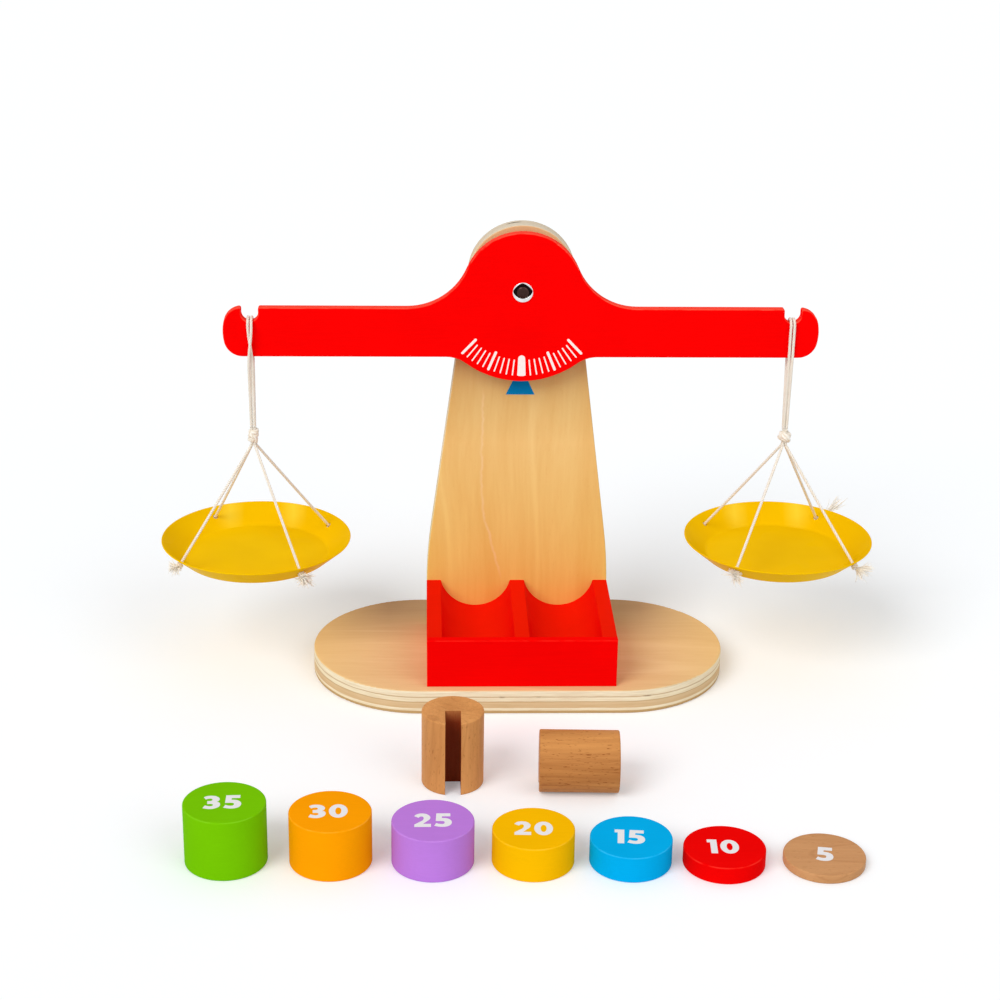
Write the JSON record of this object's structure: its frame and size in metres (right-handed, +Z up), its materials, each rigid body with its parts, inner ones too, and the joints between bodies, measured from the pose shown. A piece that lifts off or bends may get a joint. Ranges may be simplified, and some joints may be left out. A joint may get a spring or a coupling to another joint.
{
  "type": "toy balance scale",
  "caption": "Wooden balance scale for play: a dial beam on an upright, dishes hung from its ends on cords, round marked weights and slotted arm weights.",
  "frame": {"origin": "on the table, under the middle of the base plate", "axes": "+X along the beam to the right, +Y to the back, +Z up"},
  "size_m": [0.4348, 0.3314, 0.2715],
  "materials": {
    "ply_base": "clear lacquered birch plywood",
    "ply_upright": "clear lacquered birch plywood",
    "red_paint": "satin red paint on wood",
    "yellow_enamel": "gloss yellow enamel on sheet steel",
    "cotton": "twisted natural cotton cord",
    "chrome": "bright plated",
    "dark_steel": "blackened",
    "zinc_steel": "zinc plated",
    "nylon": "natural",
    "beech": "sealed beech",
    "green_paint": "satin paint on beech",
    "orange_paint": "satin paint on beech",
    "purple_paint": "satin paint on beech",
    "amber_paint": "satin paint on beech",
    "blue_paint": "satin paint on beech"
  },
  "bodies": {
    "stand": {"base_plate": "ply_base", "upright": "ply_upright", "rack_block": "red_paint", "rack_front": "red_paint", "upright_screws": "zinc_steel", "rack_screws": "zinc_steel", "pivot_bolt": "dark_steel", "pivot_spacer": "nylon", "back_washer": "zinc_steel", "back_nut": "zinc_steel"},
    "beam": {"beam": "red_paint", "pivot_bush": "chrome"},
    "left_loop": {"left_loop_cord_1": "cotton", "left_loop_cord_2": "cotton"},
    "left_knot": {"left_knot": "cotton"},
    "left_dish": {"left_pan": "yellow_enamel", "left_end_knots": "cotton", "left_strand_1": "cotton", "left_strand_2": "cotton", "left_strand_3": "cotton", "left_strand_4": "cotton"},
    "right_loop": {"right_loop_cord_1": "cotton", "right_loop_cord_2": "cotton"},
    "right_knot": {"right_knot": "cotton"},
    "right_dish": {"right_pan": "yellow_enamel", "right_end_knots": "cotton", "right_strand_1": "cotton", "right_strand_2": "cotton", "right_strand_3": "cotton", "right_strand_4": "cotton"},
    "weight_05_body": {"weight_05": "beech"},
    "weight_10_body": {"weight_10": "red_paint"},
    "weight_15_body": {"weight_15": "blue_paint"},
    "weight_20_body": {"weight_20": "amber_paint"},
    "weight_25_body": {"weight_25": "purple_paint"},
    "weight_30_body": {"weight_30": "orange_paint"},
    "weight_35_body": {"weight_35": "green_paint"},
    "rider_standing_body": {"rider_standing": "beech"},
    "rider_lying_body": {"rider_lying": "beech"}
  },
  "joints": [
    {"name": "beam_tilt", "type": "hinge", "parent": "stand", "child": "beam", "pos_m": [0, 0.02, 0.234], "axis": [0, 1, 0], "range_deg": [-15, 15]},
    {"name": "left_hanger_plumb", "type": "hinge", "parent": "beam", "child": "left_loop", "pos_m": [-0.16, 0.02, 0.2172], "axis": [0, 1, 0], "range_deg": [-15, 15]},
    {"name": "left_side_swing", "type": "hinge", "parent": "left_loop", "child": "left_knot", "pos_m": [-0.16, 0.02, 0.1435], "axis": [0, 1, 0], "range_deg": [-20, 20]},
    {"name": "left_fore_swing", "type": "hinge", "parent": "left_knot", "child": "left_dish", "pos_m": [-0.16, 0.02, 0.1435], "axis": [1, 0, 0], "range_deg": [-20, 20]},
    {"name": "right_hanger_plumb", "type": "hinge", "parent": "beam", "child": "right_loop", "pos_m": [0.16, 0.02, 0.2172], "axis": [0, 1, 0], "range_deg": [-15, 15]},
    {"name": "right_side_swing", "type": "hinge", "parent": "right_loop", "child": "right_knot", "pos_m": [0.16, 0.02, 0.1435], "axis": [0, 1, 0], "range_deg": [-20, 20]},
    {"name": "right_fore_swing", "type": "hinge", "parent": "right_knot", "child": "right_dish", "pos_m": [0.16, 0.02, 0.1435], "axis": [1, 0, 0], "range_deg": [-20, 20]},
    {"name": "weight_05_lift", "type": "slide", "parent": "stand", "child": "weight_05_body", "axis": [0, 0, 1], "range_m": [0, 0.15]},
    {"name": "weight_10_lift", "type": "slide", "parent": "stand", "child": "weight_10_body", "axis": [0, 0, 1], "range_m": [0, 0.15]},
    {"name": "weight_15_lift", "type": "slide", "parent": "stand", "child": "weight_15_body", "axis": [0, 0, 1], "range_m": [0, 0.15]},
    {"name": "weight_20_lift", "type": "slide", "parent": "stand", "child": "weight_20_body", "axis": [0, 0, 1], "range_m": [0, 0.15]},
    {"name": "weight_25_lift", "type": "slide", "parent": "stand", "child": "weight_25_body", "axis": [0, 0, 1], "range_m": [0, 0.15]},
    {"name": "weight_30_lift", "type": "slide", "parent": "stand", "child": "weight_30_body", "axis": [0, 0, 1], "range_m": [0, 0.15]},
    {"name": "weight_35_lift", "type": "slide", "parent": "stand", "child": "weight_35_body", "axis": [0, 0, 1], "range_m": [0, 0.15]},
    {"name": "rider_standing_lift", "type": "slide", "parent": "stand", "child": "rider_standing_body", "axis": [0, 0, 1], "range_m": [0, 0.15]},
    {"name": "rider_lying_lift", "type": "slide", "parent": "stand", "child": "rider_lying_body", "axis": [0, 0, 1], "range_m": [0, 0.15]}
  ],
  "couplings": [
    {"joint": "left_hanger_plumb", "follows": "beam_tilt", "ratio": -1},
    {"joint": "right_hanger_plumb", "follows": "beam_tilt", "ratio": -1}
  ]
}
